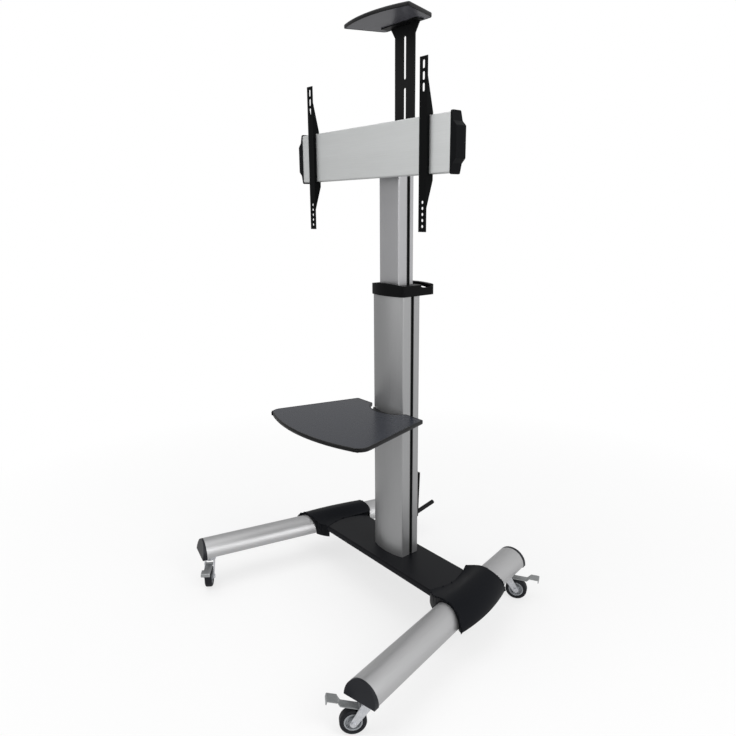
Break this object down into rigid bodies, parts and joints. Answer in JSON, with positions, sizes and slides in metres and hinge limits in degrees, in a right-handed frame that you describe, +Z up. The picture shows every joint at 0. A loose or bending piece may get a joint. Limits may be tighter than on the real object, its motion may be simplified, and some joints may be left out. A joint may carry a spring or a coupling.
{
  "type": "mobile display cart",
  "caption": "Mobile display cart: splayed legs on braked castors, telescopic column, crossbeam with sliding screen arms, equipment shelf and camera shelf on a slotted mast.",
  "frame": {"origin": "on the floor, below the middle of the cart's footprint, castors included", "axes": "+Z up; -Y is the front, which the screen faces; +X is the right hand of a person who looks at the screen"},
  "size_m": [0.9986, 0.9318, 1.7985],
  "materials": {
    "anodised_aluminium": "fine satin anodised",
    "base_black": "moulded, lightly textured",
    "bracket_steel": "black powder coat",
    "black_steel": "black powder coat",
    "zinc_bolts": "zinc plated",
    "zinc_steel": "bright zinc plated, pressed",
    "wheel_plastic": "moulded",
    "tyre_rubber": "smooth tread",
    "shelf_board": "dark laminate, satin",
    "camera_shelf_board": "dark laminate, satin",
    "groove_plastic": "extruded",
    "glide_plastic": "smooth",
    "joint_cover_plastic": "satin moulding",
    "black_plastic": "satin moulding"
  },
  "bodies": {
    "base": {"cross_beam": "base_black", "base_cover": "base_black", "leg_right": "anodised_aluminium", "leg_left": "anodised_aluminium", "leg_bracket_right": "bracket_steel", "leg_bracket_left": "bracket_steel", "base_bolts": "zinc_bolts", "joint_cover_right": "joint_cover_plastic", "joint_cover_left": "joint_cover_plastic", "front_leg_cap_right": "black_plastic", "front_leg_cap_left": "black_plastic", "rear_leg_cap_right": "black_plastic", "rear_leg_cap_left": "black_plastic", "castor_sockets": "zinc_steel", "column_foot": "bracket_steel", "lower_column": "anodised_aluminium", "lower_groove_strips": "groove_plastic", "column_glides": "glide_plastic", "collar": "black_plastic", "cord_hooks": "black_plastic"},
    "upper": {"upper_column": "anodised_aluminium", "upper_groove_strips": "groove_plastic", "beam_bracket": "bracket_steel", "beam_bolts": "zinc_bolts", "screen_beam": "anodised_aluminium", "beam_cap_right": "black_plastic", "beam_cap_left": "black_plastic", "mast_bolts": "zinc_bolts"},
    "right_arm": {"arm_right": "black_steel", "arm_screw_right": "zinc_bolts"},
    "left_arm": {"arm_left": "black_steel", "arm_screw_left": "zinc_bolts"},
    "mast": {"camera_mast": "black_steel", "camera_bracket": "black_steel", "camera_shelf": "camera_shelf_board"},
    "shelf": {"equipment_shelf": "shelf_board", "shelf_bracket": "bracket_steel"},
    "height_lock": {"height_knob": "black_plastic"},
    "right_shelf_lock": {"shelf_knob_right": "black_plastic"},
    "left_shelf_lock": {"shelf_knob_left": "black_plastic"},
    "swivel_front_right": {"fork_front_right": "zinc_steel", "axle_front_right": "zinc_steel"},
    "roller_front_right": {"wheel_front_right": "wheel_plastic", "tyre_front_right": "tyre_rubber"},
    "brake_front_right": {"pedal_front_right": "zinc_steel"},
    "swivel_front_left": {"fork_front_left": "zinc_steel", "axle_front_left": "zinc_steel"},
    "roller_front_left": {"wheel_front_left": "wheel_plastic", "tyre_front_left": "tyre_rubber"},
    "brake_front_left": {"pedal_front_left": "zinc_steel"},
    "swivel_rear_right": {"fork_rear_right": "zinc_steel", "axle_rear_right": "zinc_steel"},
    "roller_rear_right": {"wheel_rear_right": "wheel_plastic", "tyre_rear_right": "tyre_rubber"},
    "brake_rear_right": {"pedal_rear_right": "zinc_steel"},
    "swivel_rear_left": {"fork_rear_left": "zinc_steel", "axle_rear_left": "zinc_steel"},
    "roller_rear_left": {"wheel_rear_left": "wheel_plastic", "tyre_rear_left": "tyre_rubber"},
    "brake_rear_left": {"pedal_rear_left": "zinc_steel"}
  },
  "joints": [
    {"name": "column_lift", "type": "slide", "parent": "base", "child": "upper", "axis": [0, 0, 1], "range_m": [-0.2, 0.1]},
    {"name": "right_arm_slide", "type": "slide", "parent": "upper", "child": "right_arm", "axis": [1, 0, 0], "range_m": [-0.13, 0.06]},
    {"name": "left_arm_slide", "type": "slide", "parent": "upper", "child": "left_arm", "axis": [-1, 0, 0], "range_m": [-0.16, 0.03]},
    {"name": "mast_slide", "type": "slide", "parent": "upper", "child": "mast", "axis": [0, 0, 1], "range_m": [-0.12, 0.01]},
    {"name": "shelf_slide", "type": "slide", "parent": "base", "child": "shelf", "axis": [0, 0, 1], "range_m": [-0.3, 0.25]},
    {"name": "height_lock_turn", "type": "hinge", "parent": "base", "child": "height_lock", "pos_m": [0, 0.1595, 1.031], "axis": [0, 1, 0], "continuous": true},
    {"name": "right_shelf_lock_turn", "type": "hinge", "parent": "shelf", "child": "right_shelf_lock", "pos_m": [0.0753, 0.1235, 0.61], "axis": [1, 0, 0], "continuous": true},
    {"name": "left_shelf_lock_turn", "type": "hinge", "parent": "shelf", "child": "left_shelf_lock", "pos_m": [-0.0753, 0.1235, 0.61], "axis": [-1, 0, 0], "continuous": true},
    {"name": "swivel_turn_front_right", "type": "hinge", "parent": "base", "child": "swivel_front_right", "pos_m": [0.44381, -0.36354, 0.09], "axis": [0, 0, 1], "continuous": true},
    {"name": "wheel_roll_front_right", "type": "hinge", "parent": "swivel_front_right", "child": "roller_front_right", "pos_m": [0.42368, -0.39577, 0.035], "axis": [0.848, -0.5299, 0], "continuous": true},
    {"name": "pedal_swing_front_right", "type": "hinge", "parent": "swivel_front_right", "child": "brake_front_right", "pos_m": [0.43322, -0.3805, 0.073], "axis": [-0.848, 0.5299, 0], "range_deg": [-16, 0]},
    {"name": "swivel_turn_front_left", "type": "hinge", "parent": "base", "child": "swivel_front_left", "pos_m": [-0.44381, -0.36354, 0.09], "axis": [0, 0, 1], "continuous": true},
    {"name": "wheel_roll_front_left", "type": "hinge", "parent": "swivel_front_left", "child": "roller_front_left", "pos_m": [-0.41231, -0.38479, 0.035], "axis": [0.5592, 0.829, 0], "continuous": true},
    {"name": "pedal_swing_front_left", "type": "hinge", "parent": "swivel_front_left", "child": "brake_front_left", "pos_m": [-0.42723, -0.37472, 0.073], "axis": [-0.5592, -0.829, 0], "range_deg": [0, 16]},
    {"name": "swivel_turn_rear_right", "type": "hinge", "parent": "base", "child": "swivel_rear_right", "pos_m": [0.283, 0.36185, 0.09], "axis": [0, 0, 1], "continuous": true},
    {"name": "wheel_roll_rear_right", "type": "hinge", "parent": "swivel_rear_right", "child": "roller_rear_right", "pos_m": [0.31591, 0.38085, 0.035], "axis": [-0.5, 0.866, 0], "continuous": true},
    {"name": "pedal_swing_rear_right", "type": "hinge", "parent": "swivel_rear_right", "child": "brake_rear_right", "pos_m": [0.30032, 0.37185, 0.073], "axis": [0.5, -0.866, 0], "range_deg": [0, 16]},
    {"name": "swivel_turn_rear_left", "type": "hinge", "parent": "base", "child": "swivel_rear_left", "pos_m": [-0.283, 0.36185, 0.09], "axis": [0, 0, 1], "continuous": true},
    {"name": "wheel_roll_rear_left", "type": "hinge", "parent": "swivel_rear_left", "child": "roller_rear_left", "pos_m": [-0.296, 0.39756, 0.035], "axis": [-0.9397, -0.342, 0], "continuous": true},
    {"name": "pedal_swing_rear_left", "type": "hinge", "parent": "swivel_rear_left", "child": "brake_rear_left", "pos_m": [-0.28984, 0.38064, 0.073], "axis": [0.9397, 0.342, 0], "range_deg": [0, 16]}
  ]
}
